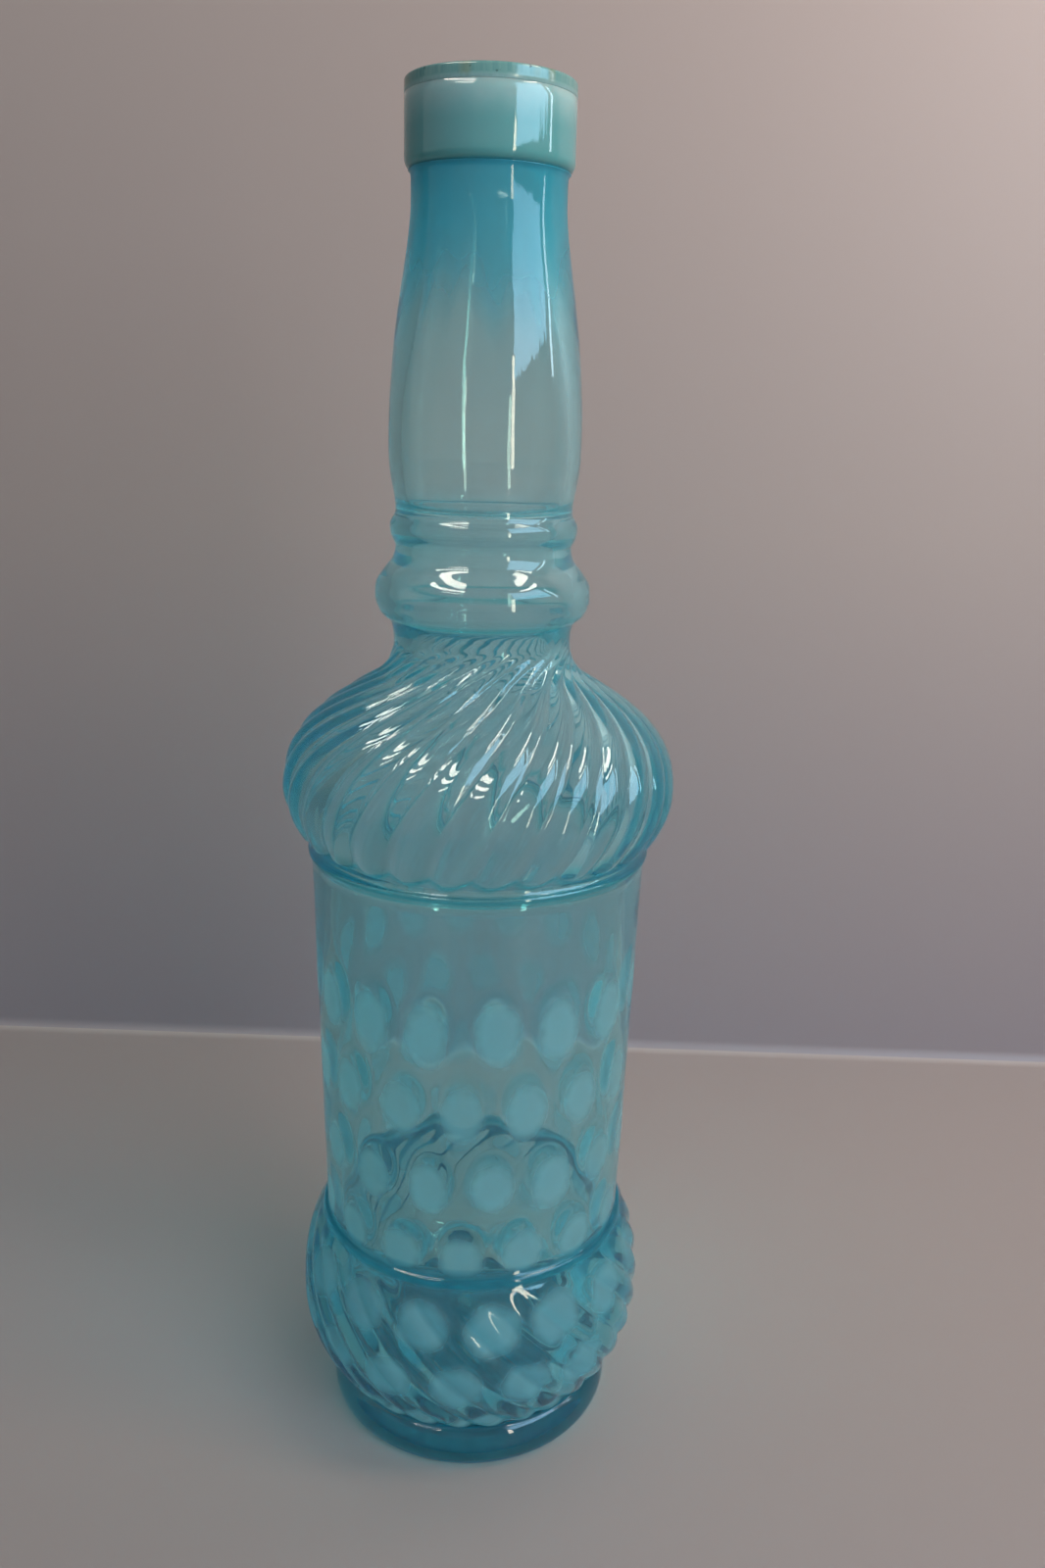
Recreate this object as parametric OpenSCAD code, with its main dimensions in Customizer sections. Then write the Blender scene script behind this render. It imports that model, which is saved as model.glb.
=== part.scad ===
// Tall barber bottle in aqua glass with milky coin spots, a swirl-ribbed shoulder and base.
// Millimetres, +Z up, origin at the centre of the foot's underside.
// Each zone of the glass is one solid, and neighbouring zones meet on flat rings.

/* [Heights] */
// Height of the thick foot
foot_h = 9.5; // [8.5:0.5:12]
// Height of the ribbed bulge above the foot
bulge_h = 39; // [36:0.5:44]
// Height of the barrel, from the crease to the ledge
barrel_h = 80.7; // [74:0.1:98]
// Height of the ledge bead on top of the barrel
ledge_h = 1.8; // [1.2:0.1:4]
// Height of the ribbed shoulder, from the ledge to the waist
shoulder_h = 41.5; // [38:0.5:48]
// Height of the large neck ring, from the waist to the groove
large_ring_h = 18; // [16:0.5:22]
// Height of the small neck ring, from the groove to the neck
small_ring_h = 6.5; // [5:0.5:9]
// Height of the neck
neck_h = 58.5; // [50:0.5:75]
// Height of the opal collar
collar_h = 12; // [9:0.5:16]
// Height of the ground rim
rim_h = 2.5; // [1.5:0.1:4]

/* [Lip and corner] */
// Width of the bulge's lip beyond the crease
lip_w = 0.9; // [0.4:0.1:1.4]
// Height of the bulge's lip
lip_h = 1.6; // [1:0.1:2.5]
// Width of the corner where the large ring leaves the waist
ring_corner_w = 1.1; // [0.5:0.1:1.6]
// Height of the corner where the large ring leaves the waist
ring_corner_h = 4; // [2.5:0.1:5]

/* [Outer radii] */
// Foot
foot_r = 31; // [30:0.1:33]
// Bulge at its widest
bulge_r = 37.3; // [35:0.1:40]
// Crease between the bulge and the barrel
crease_r = 31.9; // [30.5:0.1:33.5]
// Barrel at its top
barrel_top_r = 33.8; // [32:0.1:36]
// Ledge bead
ledge_r = 34.5; // [34.3:0.1:38]
// Shoulder at its widest
shoulder_r = 39.2; // [37:0.1:42]
// Waist between the shoulder and the large ring
waist_r = 17.2; // [15.5:0.1:19]
// Large neck ring
large_ring_r = 20.8; // [19.5:0.1:23]
// Groove between the two neck rings
groove_r = 16.8; // [15.5:0.1:18]
// Small neck ring
small_ring_r = 17.9; // [17.2:0.1:20]
// Neck at its fullest
neck_r = 18.1; // [17:0.1:20]
// Neck under the collar
neck_top_r = 14; // [13:0.1:15]
// Collar and rim
collar_r = 15.2; // [14.5:0.1:18]

/* [Glass thickness] */
// Wall of the barrel, ledge and shoulder
wall = 3.6; // [3:0.1:5]
// Wall of the bulge at its widest
bulge_wall = 6.5; // [4.5:0.1:7]
// Floor at its centre
floor_h = 5; // [4:0.5:7]
// Rise of the hollow under the foot
punt_h = 3; // [2:0.5:4]
// Radius of the hollow under the foot
punt_r = 22; // [16:0.5:25]
// Radius of the straight mouth bore
mouth_r = 10; // [8.5:0.1:11.5]
// Depth of the straight mouth bore
mouth_depth = 25; // [20:1:32]
// Bore at the waist and at the groove
waist_bore_r = 13.5; // [11:0.1:14]
// Inside of the large neck ring
large_ring_bore_r = 18; // [16:0.1:18.5]
// Inside of the small neck ring
small_ring_bore_r = 14.9; // [14.2:0.1:15.5]
// Bore at the pinch below the neck
pinch_r = 12.1; // [10.5:0.1:13]
// Inside of the neck at its fullest
neck_bore_r = 15.6; // [14:0.1:16]

/* [Swirl ribs] */
// Number of ribs round the shoulder and the bulge
rib_count = 28; // [20:1:32]
// Depth of the shoulder ribs
shoulder_rib_depth = 1.3; // [0.5:0.1:1.8]
// Even part of the shoulder ribs' turn, in degrees
shoulder_turn = 24; // [10:1:40]
// Extra turn of the shoulder ribs towards the waist, in degrees
waist_turn = 58; // [30:1:75]
// Depth of the bulge ribs
bulge_rib_depth = 1; // [0.4:0.1:1.2]
// Turn of the bulge ribs, which lean the other way, in degrees
bulge_turn = -58; // [-70:1:-30]

/* [Coin spots] */
// Spots in a row
spot_count = 16; // [12:1:17]
// Width of a spot
spot_w = 9.4; // [7:0.1:10]
// Height of a barrel spot
barrel_spot_h = 12.6; // [11:0.1:14]
// Height of the lowest barrel row's centres above the crease
first_row_h = 6.8; // [6.8:0.1:9]
// Step from one barrel row to the next
row_step = 16.3; // [15:0.1:18]
// Height of the lower bulge row's centres above the foot
low_bulge_row_h = 17.5; // [15:0.5:19]
// Height of the crease above the upper bulge row's centres
high_bulge_row_h = 8.5; // [8:0.5:10.5]
// Thickness of a spot on the wall
spot_rise = 0.5; // [0.3:0.1:1]
// Turn of the first spot from the front, in degrees
spot_turn = 7; // [0:0.5:22]

/* [Hidden] */
$fn = 96;

// heights of the flat rings where two zones meet
bulge_z = foot_h;
crease_z = bulge_z + bulge_h;
ledge_z = crease_z + barrel_h;
shoulder_z = ledge_z + ledge_h;
waist_z = shoulder_z + shoulder_h;
groove_z = waist_z + large_ring_h;
pinch_z = groove_z + small_ring_h;
collar_z = pinch_z + neck_h;
rim_z = collar_z + collar_h;
top_z = rim_z + rim_h;
mouth_z = top_z - mouth_depth;

// heights where the curved zones are fullest
bulge_mid_z = bulge_z + bulge_h * 0.49;
ledge_mid_z = ledge_z + ledge_h * 0.5;
shoulder_mid_z = shoulder_z + shoulder_h * 0.3;
large_ring_mid_z = waist_z + large_ring_h * 0.49;
small_ring_mid_z = groove_z + small_ring_h * 0.52;
neck_mid_z = pinch_z + neck_h * 0.19;
neck_slim_z = pinch_z + neck_h * 0.9;

// small sizes of the edges and of the glass at the heel and the throat
foot_edge = 4;
foot_step = 1.7;
heel_extra = 2.5;
throat_flare = 3;
throat_drop = 6.7;
throat_bore_flare = 3.4;
throat_bore_drop = 7.2;
rim_edge = 0.6;

// sizes that follow from the ones above
bulge_foot_r = foot_r - foot_step;
floor_r = bulge_foot_r - wall - heel_extra;
floor_z = punt_h + floor_h;
throat = [waist_r + throat_flare, waist_z - throat_drop];
throat_bore = [waist_bore_r + throat_bore_flare, waist_z - throat_bore_drop];
collar_chamfer = collar_r - neck_top_r;

// counts and allowances of the construction, and the direction of the front in degrees
barrel_rows = 4;
curve_steps = 8;
rib_samples = 4;
past = 1;
spot_root = 3;
front = -90;

// colours
clear_blue = [0.33, 0.62, 0.68];
deep_blue = [0.12, 0.38, 0.47];
opal_blue = [0.50, 0.74, 0.76];
ground_teal = [0.30, 0.55, 0.55];

// point at t on the cubic curve with control points p
function cubic(p, t) =
    pow(1 - t, 3) * p[0] + 3 * pow(1 - t, 2) * t * p[1] + 3 * (1 - t) * t * t * p[2] + pow(t, 3) * p[3];

// point at shares [radius, height] of the way from a to b
function between(a, b, share) = [a[0] + (b[0] - a[0]) * share[0], a[1] + (b[1] - a[1]) * share[1]];

// points of a curve from a to b, without b, whose control points lie at two shares of the way
function bend(a, b, first, second) =
    let (p = [a, between(a, b, first), between(a, b, second), b])
    [for (i = [0:curve_steps - 1]) cubic(p, i / curve_steps)];

// bend that starts and ends upright
function swell(a, b) = bend(a, b, [0, 0.5], [1, 0.5]);

// bend that starts slanted and ends upright
function rise(a, b) = bend(a, b, [0.55, 0.25], [1, 0.55]);

// bend that starts upright and ends slanted
function fall(a, b) = bend(a, b, [0, 0.45], [0.3, 0.78]);

// points in reverse order
function backwards(points) = [for (i = [len(points) - 1:-1:0]) points[i]];

// outlines of the zones as [radius, height], bottom to top
function bulge_outline() =
    let (widest = [bulge_r, bulge_mid_z], lip = [crease_r + lip_w, crease_z - lip_h])
    let (top = [crease_r, crease_z])
    concat(rise([bulge_foot_r, bulge_z], widest), fall(widest, lip),
           bend(lip, top, [0, 0.6], [0.4, 1]), [top]);
function bulge_bore() =
    let (widest = [bulge_r - bulge_wall, bulge_mid_z], top = [crease_r - wall, crease_z])
    concat(rise([floor_r, bulge_z], widest), fall(widest, top), [top]);
function ledge_outline() =
    let (bottom = [barrel_top_r, ledge_z], peak = [ledge_r, ledge_mid_z], top = [barrel_top_r, shoulder_z])
    concat(bend(bottom, peak, [0.8, 0.1], [1, 0.5]), bend(peak, top, [0, 0.5], [0.2, 0.9]), [top]);
function shoulder_outline() =
    let (bottom = [barrel_top_r, shoulder_z], widest = [shoulder_r, shoulder_mid_z])
    let (top = [waist_r, waist_z])
    concat(bend(bottom, widest, [0.55, 0.32], [1, 0.66]), bend(widest, throat, [0, 0.56], [0.57, 0.765]),
           bend(throat, top, [0.74, 0.3], [1, 0.6]), [top]);
function shoulder_bore() =
    let (bottom = [barrel_top_r - wall, shoulder_z], widest = [shoulder_r - wall, shoulder_mid_z])
    let (top = [waist_bore_r, waist_z])
    concat(bend(bottom, widest, [0.55, 0.32], [1, 0.66]),
           bend(widest, throat_bore, [0, 0.52], [0.55, 0.665]),
           bend(throat_bore, top, [0.7, 0.3], [1, 0.6]), [top]);
function large_ring_outline() =
    let (corner = [waist_r + ring_corner_w, waist_z + ring_corner_h])
    let (peak = [large_ring_r, large_ring_mid_z], top = [groove_r, groove_z])
    concat(bend([waist_r, waist_z], corner, [0, 0.5], [0.5, 0.85]),
           bend(corner, peak, [0.7, 0.15], [1, 0.55]), swell(peak, top), [top]);
function large_ring_bore() =
    let (peak = [large_ring_bore_r, large_ring_mid_z], top = [waist_bore_r, groove_z])
    concat(swell([waist_bore_r, waist_z], peak), swell(peak, top), [top]);
function small_ring_outline() =
    let (peak = [small_ring_r, small_ring_mid_z], top = [groove_r, pinch_z])
    concat(rise([groove_r, groove_z], peak), fall(peak, top), [top]);
function small_ring_bore() =
    let (peak = [small_ring_bore_r, small_ring_mid_z], top = [pinch_r, pinch_z])
    concat(swell([waist_bore_r, groove_z], peak), swell(peak, top), [top]);
function neck_outline() =
    let (fullest = [neck_r, neck_mid_z], slim = [neck_top_r, neck_slim_z])
    concat(rise([groove_r, pinch_z], fullest), bend(fullest, slim, [0, 0.5], [0.86, 0.75]),
           [slim, [neck_top_r, collar_z]]);
function neck_bore() =
    let (fullest = [neck_bore_r, neck_mid_z], slim = [mouth_r, mouth_z])
    concat(swell([pinch_r, pinch_z], fullest), bend(fullest, slim, [0, 0.5], [0.86, 0.75]),
           [slim, [mouth_r, collar_z]]);

// radius of an outline at height z
function radius_at(outline, z) = lookup(z, [for (p = outline) [p[1], p[0]]]);

// zone turned between an outer and an inner outline
module turned_zone(outer, inner) {
    rotate_extrude() polygon(concat(outer, backwards(inner)));
}

// solid of revolution from the axis to an outline
module turned_core(outline) {
    rotate_extrude() polygon(concat([[0, outline[0][1]]], outline, [[0, outline[len(outline) - 1][1]]]));
}

// cavity that runs past both ends of a zone
module cavity(bore) {
    below = [bore[0][0], bore[0][1] - past];
    above = [bore[len(bore) - 1][0], bore[len(bore) - 1][1] + past];
    turned_core(concat([below], bore, [above]));
}

// solid with rounded ribs and sharp valleys, whose ribs fade at both ends
// turn is the even twist and end_turn the extra twist near the top, in degrees
module ribbed_core(outline, depth, turn, end_turn) {
    bottom = outline[0][1];
    height = outline[len(outline) - 1][1] - bottom;
    around = rib_count * rib_samples;
    rings = len(outline);
    points = [for (p = outline)
        let (t = (p[1] - bottom) / height, valley = depth * sin(180 * t))
        for (i = [0:around - 1])
            let (r = p[0] - valley * (1 - abs(cos(180 * i / rib_samples))))
            let (a = 360 * i / around + turn * t + end_turn * pow(t, 5) + front)
            [r * cos(a), r * sin(a), p[1]]];
    sides = [for (k = [0:rings - 2], i = [0:around - 1])
        let (j = (i + 1) % around, low = k * around, high = low + around)
        for (face = [[low + i, high + i, low + j], [low + j, high + i, high + j]]) face];
    bottom_face = [for (i = [0:around - 1]) i];
    top_face = [for (i = [around - 1:-1:0]) (rings - 1) * around + i];
    polyhedron(points, concat(sides, [bottom_face, top_face]));
}

// upright oval of a spot, with its height along X
module oval(h) {
    shift = (h - spot_w) / 2;
    if (shift > 0) {
        translate([shift, 0]) circle(d = spot_w);
        translate([-shift, 0]) circle(d = spot_w);
        square([2 * shift, spot_w], center = true);
    } else {
        circle(d = h);
    }
}

// ring of spot prisms at height z on an outline, each square to the wall and rooted in it
module spot_row(outline, z, h, half_step) {
    r = radius_at(outline, z);
    lean = atan((radius_at(outline, z - past) - radius_at(outline, z + past)) / (2 * past));
    for (i = [0:spot_count - 1])
        rotate([0, 0, front + spot_turn + (i + half_step / 2) * 360 / spot_count])
            translate([r, 0, z])
                rotate([0, 90 - lean, 0])
                    translate([0, 0, -spot_root])
                        linear_extrude(spot_root + spot_rise + past)
                            oval(h);
}

barrel_outline = [[crease_r, crease_z], [barrel_top_r, ledge_z]];
barrel_bore = [[crease_r - wall, crease_z], [barrel_top_r - wall, ledge_z]];

// barrel rows are counted from the top
module barrel_row(row) {
    z = crease_z + first_row_h + (barrel_rows - row) * row_step;
    spot_row(barrel_outline, z, barrel_spot_h, (row - 1) % 2);
}

// bulge rows are counted from the top
module bulge_row(row) {
    z = row == 1 ? crease_z - high_bulge_row_h : bulge_z + low_bulge_row_h;
    spot_row(bulge_outline(), z, spot_w, (row - 1) % 2);
}

// wall outline raised by the thickness of the spots
function raised(outline) = [for (p = outline) [p[0] + spot_rise, p[1]]];

// spots cut to a shell of their thickness on an outline
module spot_shell(outline) {
    difference() {
        intersection() {
            children();
            turned_core(raised(outline));
        }
        turned_core(outline);
    }
}

module foot() {
    underside = bend([0, punt_h], [punt_r, 0], [0.45, 0], [0.8, 0.6]);
    edge = bend([foot_r - foot_edge, 0], [foot_r, foot_edge], [0.55, 0], [1, 0.45]);
    side = bend([foot_r, foot_edge], [bulge_foot_r, bulge_z], [0, 0.45], [0.45, 0.85]);
    inside = bend([floor_r, bulge_z], [0, floor_z], [0.12, 1.2], [0.5, 1]);
    section = concat(underside, [[punt_r, 0]], edge, side, [[bulge_foot_r, bulge_z]], inside, [[0, floor_z]]);
    color(deep_blue) rotate_extrude() polygon(section);
}

module base_bulge() {
    color(clear_blue) difference() {
        ribbed_core(bulge_outline(), bulge_rib_depth, bulge_turn, 0);
        cavity(bulge_bore());
    }
}

module barrel() {
    color(clear_blue) turned_zone(barrel_outline, barrel_bore);
}

module ledge_ring() {
    bore = [[barrel_top_r - wall, ledge_z], [barrel_top_r - wall, shoulder_z]];
    color(clear_blue) turned_zone(ledge_outline(), bore);
}

module shoulder() {
    color(clear_blue) difference() {
        ribbed_core(shoulder_outline(), shoulder_rib_depth, shoulder_turn, waist_turn);
        cavity(shoulder_bore());
    }
}

module large_neck_ring() {
    color(clear_blue) turned_zone(large_ring_outline(), large_ring_bore());
}

module small_neck_ring() {
    color(clear_blue) turned_zone(small_ring_outline(), small_ring_bore());
}

module neck() {
    color(clear_blue) turned_zone(neck_outline(), neck_bore());
}

module lip_collar() {
    outer = [[neck_top_r, collar_z], [collar_r, collar_z + collar_chamfer], [collar_r, rim_z]];
    color(opal_blue) turned_zone(outer, [[mouth_r, collar_z], [mouth_r, rim_z]]);
}

module ground_rim() {
    outer = [[collar_r, rim_z], [collar_r, top_z - rim_edge], [collar_r - rim_edge, top_z]];
    color(ground_teal) turned_zone(outer, [[mouth_r, rim_z], [mouth_r, top_z]]);
}

module barrel_spots(row) {
    color(opal_blue) spot_shell(barrel_outline) barrel_row(row);
}

// the bulge spots lie on the crests of the ribs
module bulge_spots(row) {
    color(opal_blue) spot_shell(bulge_outline()) bulge_row(row);
}

foot();
base_bulge();
barrel();
ledge_ring();
shoulder();
large_neck_ring();
small_neck_ring();
neck();
lip_collar();
ground_rim();
barrel_spots(1);  // barrel_spots_row_1
barrel_spots(2);  // barrel_spots_row_2
barrel_spots(3);  // barrel_spots_row_3
barrel_spots(4);  // barrel_spots_row_4
bulge_spots(1);  // bulge_spots_row_1
bulge_spots(2);  // bulge_spots_row_2
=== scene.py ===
"""Looks of a tall aqua glass barber bottle with milky coin spots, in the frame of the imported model."""

import bpy
import numpy as np
from mathutils import Matrix, Vector


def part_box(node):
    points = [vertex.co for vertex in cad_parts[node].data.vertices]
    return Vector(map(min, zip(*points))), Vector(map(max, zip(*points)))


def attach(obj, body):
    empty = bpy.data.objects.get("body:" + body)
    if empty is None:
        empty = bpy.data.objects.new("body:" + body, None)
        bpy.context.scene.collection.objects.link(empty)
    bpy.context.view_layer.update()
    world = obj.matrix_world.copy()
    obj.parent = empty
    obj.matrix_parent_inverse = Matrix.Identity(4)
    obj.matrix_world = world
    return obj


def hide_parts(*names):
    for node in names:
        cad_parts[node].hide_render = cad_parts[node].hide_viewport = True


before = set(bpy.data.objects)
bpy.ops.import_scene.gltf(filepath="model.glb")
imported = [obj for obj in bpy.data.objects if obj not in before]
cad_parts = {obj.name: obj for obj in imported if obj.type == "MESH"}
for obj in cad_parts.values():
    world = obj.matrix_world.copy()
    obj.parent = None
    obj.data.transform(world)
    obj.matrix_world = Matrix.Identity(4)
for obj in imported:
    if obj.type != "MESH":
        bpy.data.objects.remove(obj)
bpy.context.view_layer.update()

# Lengths are in millimetres and angles in degrees, as the bottle was measured. MM turns them to metres.
MM = 0.001


def top_of(node):
    """Height of a node's upper face in millimetres."""
    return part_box(node)[1][2] / MM


def radius_of(node):
    """Largest radius of a turned node in millimetres, from the width of its box."""
    low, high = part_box(node)
    return (high[0] - low[0]) / 2 / MM


# Heights of the lines where the zones of the bottle meet
BULGE_Z = top_of("foot")
CREASE_Z = top_of("base_bulge")
SHOULDER_Z = top_of("ledge_ring")
WAIST_Z = top_of("shoulder")
GROOVE_Z = top_of("large_neck_ring")
PINCH_Z = top_of("small_neck_ring")
COLLAR_Z = top_of("neck")
RIM_Z = top_of("lip_collar")
TOP_Z = top_of("ground_rim")

# Heights where the curved zones are fullest, and where the neck is slimmest
BULGE_MID_Z = BULGE_Z + (CREASE_Z - BULGE_Z) * 0.49
SHOULDER_MID_Z = SHOULDER_Z + (WAIST_Z - SHOULDER_Z) * 0.3
LARGE_RING_MID_Z = WAIST_Z + (GROOVE_Z - WAIST_Z) * 0.49
SMALL_RING_MID_Z = GROOVE_Z + (PINCH_Z - GROOVE_Z) * 0.52
NECK_MID_Z = PINCH_Z + (COLLAR_Z - PINCH_Z) * 0.19
NECK_SLIM_Z = PINCH_Z + (COLLAR_Z - PINCH_Z) * 0.9

# Outer radii: on the bulge and the shoulder those of the ribs' crests
FOOT_R = radius_of("foot")
BULGE_R = 37.3
CREASE_R = 31.9
BARREL_TOP_R = radius_of("barrel")
LEDGE_R = radius_of("ledge_ring")
SHOULDER_R = 39.2
WAIST_R = 17.2
LARGE_RING_R = radius_of("large_neck_ring")
GROOVE_R = 16.8
SMALL_RING_R = radius_of("small_neck_ring")
NECK_R = radius_of("neck")
NECK_TOP_R = 14.0
COLLAR_R = radius_of("lip_collar")

# Rounded edge of the foot, and the step where the bulge leaves it
FOOT_EDGE = 4.0
FOOT_STEP = 1.7

# Rounded lip where the bulge's top stands out beyond the barrel: width and height
LIP_W = 0.9
LIP_H = 1.6

# Height of the narrow bead at the barrel's top
BEAD_H = 1.8

# Thickness of the glass, and the bores
WALL = 3.6
BULGE_WALL = 6.5
HEEL = 2.5
FLOOR_Z = 8.0
PUNT_H = 3.0
PUNT_R = 22.0
MOUTH_R = 10.0
MOUTH_DEPTH = 25.0
WAIST_BORE_R = 13.5
LARGE_RING_BORE_R = 18.0
SMALL_RING_BORE_R = 14.9
PINCH_R = 12.0
NECK_BORE_R = 15.6

# Throat of the shoulder, outside and inside: radius beyond the waist's and drop below it
THROAT = (3.0, 6.7)
THROAT_BORE = (3.4, 7.2)

# Corner where the large ring leaves the waist, and the flare under the collar: width and height
RING_FOOT = (1.1, 4.0)
FLARE = (0.5, 1.5)

# Flange of glass inside, between the neck and the small ring: radius and height beyond its edge
FLANGE = (2.2, 0.5)

# Collar's rounded lower edge: how far it starts inside the neck's radius, and its height beyond its width
COLLAR_TUCK = 0.4
COLLAR_ROUND = 0.8

# Worn edge of the ground rim
RIM_EDGE = 0.5

# Gap between pieces of glass that touch, so that no two faces share a plane
SEAM = 0.04

# Swirl ribs: count, depth, and turn from the bottom to the top of their zone. The shoulder ribs start a little
# turned, and the waist's part of their turn comes high up.
RIBS = 28
SHOULDER_RIB = 1.3
SHOULDER_START = 2.8
SHOULDER_TURN = 24.0
WAIST_TURN = 58.0
BULGE_RIB = 0.9
BULGE_TURN = -58.0

# Lower ends of the ribs: height of a lobe's tip above its zone, how much higher the notches reach, and half the
# height of the step at the lobe's edge
SHOULDER_LOBE = (2.0, 1.8, 0.5)
BULGE_LOBE = (1.6, 1.4, 0.8)

# Heights between which the ribs come in and go out
SHOULDER_RIB_IN = (SHOULDER_Z, SHOULDER_Z + 1.2)
SHOULDER_RIB_OUT = (WAIST_Z - 8, WAIST_Z)
BULGE_RIB_IN = (BULGE_Z, BULGE_Z + 1.5)
BULGE_RIB_OUT = (CREASE_Z - 9, CREASE_Z - 1)

# Coin spots, row by row from the top: height of the centres, half width and half height of the clear lens
SPOTS = 16
SPOT_STEP = 360 / SPOTS
SPOT_TURN = 7.0
SPOT_ROWS = (
    (104.2, 5.9, 8.2),
    (87.3, 5.7, 7.7),
    (70.4, 5.7, 7.3),
    (54.6, 5.6, 6.6),
    (40.6, 6.9, 6.5),
    (27.0, 6.8, 6.2),
    (16.0, 6.2, 2.8),
)

# How far a spot strays from the even pattern: turn, height, share of its size, and milkiness
STRAY_TURN = 0.7
STRAY_Z = 0.5
STRAY_SIZE = 0.06
STRAY_MILK = 0.1

# Reach of the glass that lies far from any spot
FAR_REACH = 3.0

# Lens inside behind a spot: depth, power that shapes its edge, painted shade on it that stands for the shaded
# side of the spot's milky core, the reaches between which that shade goes out, and the share of the lens at the
# back of the bottle
LENS_DEPTH = 0.62
LENS_EDGE = 2.0
LENS_SHADE = 0.42
LENS_SHADE_OUT = (0.55, 1.1)
LENS_BACK = 0.1

# Milky core of a spot: strength on the barrel and on the bulge, share of it at the back of the bottle, and drop
# below the lens's middle as a share of the half height
SPOT_MILK = 0.78
BULGE_MILK = 0.9
MILK_BACK = 0.5
CORE_DROP = 0.18

# Painted shade: deep teal lines where light runs along thick rims of glass, on the bead, the crease and the
# large ring's foot: height and half thickness
CREASE_LINE = (CREASE_Z - 0.5, 1.5)
RIM_SHADE_LINES = (
    (SHOULDER_Z - BEAD_H / 2, 1.1),
    CREASE_LINE,
    (WAIST_Z + RING_FOOT[1], 0.8),
)

# Painted shade: deep teal line along the shoulder's lobes: drop below their edge and half thickness
LOBE_LINE_DROP = 0.5
LOBE_LINE_HALF = 0.9

# Milky band along the bulge's lobes: rise above their edge and half thickness
LOBE_BAND_RISE = 2.0
LOBE_BAND_HALF = 1.6

# Strength of the painted shade, a milky deep teal line, on the crease and on the pinched bore's edge, and half
# the thickness of that edge's line
CREASE_SHADE = 0.85
PINCH_SHADE = 0.6
PINCH_HALF = 0.6

# Waves left by blowing, outside and inside: height, share of it above the barrel, the heights between which they
# come in, go out and calm down, and the shift of the inside ones in radians
WAVE = 0.035
UPPER_WAVE = 0.35
WAVE_IN = (2, 12)
WAVE_OUT = (COLLAR_Z - 6, COLLAR_Z - 1)
WAVE_CALM = (SHOULDER_Z - 10, SHOULDER_Z + 5)
INNER_WAVE_SHIFT = 2

# Sines of the waves: share, count round the bottle, rise for each radian, and phase
WAVE_SINES = (
    (1.0, 5, 5.0, 0.0),
    (0.6, 9, -3.4, 1.3),
    (0.35, 13, 2.3, 2.1),
)

# Milky haze below the lip: strength, how far below the collar it starts and is full, and how its drips differ
NECK_HAZE = 0.88
NECK_HAZE_H = 32.0
NECK_HAZE_FULL = 2.0
NECK_DRIP = 4.0

# Sines of the drips: share, count round the bottle, and phase
DRIP_SINES = (
    (1.0, 3, 0.4),
    (0.7, 8, 2.0),
    (0.5, 17, 1.1),
)

# Faint milky veil on all the glass above the foot, and more of it on the rings, the shoulder and along its ribs
VEIL = 0.1
RING_VEIL = 0.2
SHOULDER_VEIL = 0.12
RIB_VEIL = 0.05

# Heights between which the veil, its part on the rings and the look of the shoulder's dome come in and go out
VEIL_IN = (BULGE_Z, BULGE_Z + 6)
RING_IN = (WAIST_Z, WAIST_Z + 5)
RING_VEIL_OUT = (PINCH_Z, NECK_MID_Z)
DOME_IN = (SHOULDER_Z - 8, SHOULDER_Z + 6)
DOME_OUT = (WAIST_Z - 4, WAIST_Z + 6)

# Milkiness of the underside, which is worn dull, with painted shade, deep teal, where it stands on the table
UNDERSIDE_WEAR_AND_SHADE = 0.8

# Tooling ripples on the large ring: height, spacing, and the heights between which they go out
RIPPLE = 0.045
RIPPLE_STEP = 3.2
RIPPLE_OUT = (GROOVE_Z - 4, GROOVE_Z)

# Share of the lamps' light that the thick heel lets through, and the heights between which the rest comes in
HEEL_LIGHT = 0.05
LIGHT_IN = (FLOOR_Z, CREASE_Z)

# Tone of the milky glass, from 0, pale, to 1, deep teal, which the neck's haze reaches between two heights
BULGE_TONE = 0.3
DOME_TONE = 0.5
NECK_TONE_IN = (NECK_MID_Z, COLLAR_Z - 15)

# Columns round the wall, eight to a rib, so that crests and valleys lie on columns, and round the collar and rim
COLUMNS = RIBS * 8
RING_COLUMNS = 192

# Stage: how far behind the axis the wall stands, its turn, the reach of the table to the front and to each side,
# the rounding between the table and the wall, the wall's top, and the top of the painted shade, darker and
# cooler, low on the wall
BACK = 158.0
STAGE_YAW = np.radians(3.0)
FRONT = -1500.0
SIDE = 1600.0
COVE = 4.0
COVE_POINTS = 13
WALL_TOP = 1500.0
LOW_SHADE_TOP = 180.0

# Glass: refractive index, roughness where it is fire-polished, and the pale opal that the collar and rim share
GLASS_IOR = 1.5
FIRE_POLISH = 0.015
PALE_OPAL = "#9ac8ca"

# Kinds of nodes, and the sockets of a Mix node that mixes colours
ATTRIBUTE = "ShaderNodeAttribute"
MAPPING = "ShaderNodeMapping"
MATH = "ShaderNodeMath"
MIX = "ShaderNodeMix"
MIX_SHADER = "ShaderNodeMixShader"
NOISE = "ShaderNodeTexNoise"
OUTPUT = "ShaderNodeOutputMaterial"
PRINCIPLED = "ShaderNodeBsdfPrincipled"
RANGE = "ShaderNodeMapRange"
FACTOR, FIRST, SECOND, MIXED = 0, 6, 7, 2

NO_TRIANGLES = np.zeros((0, 3), int)

rng = np.random.default_rng(17)


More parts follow.
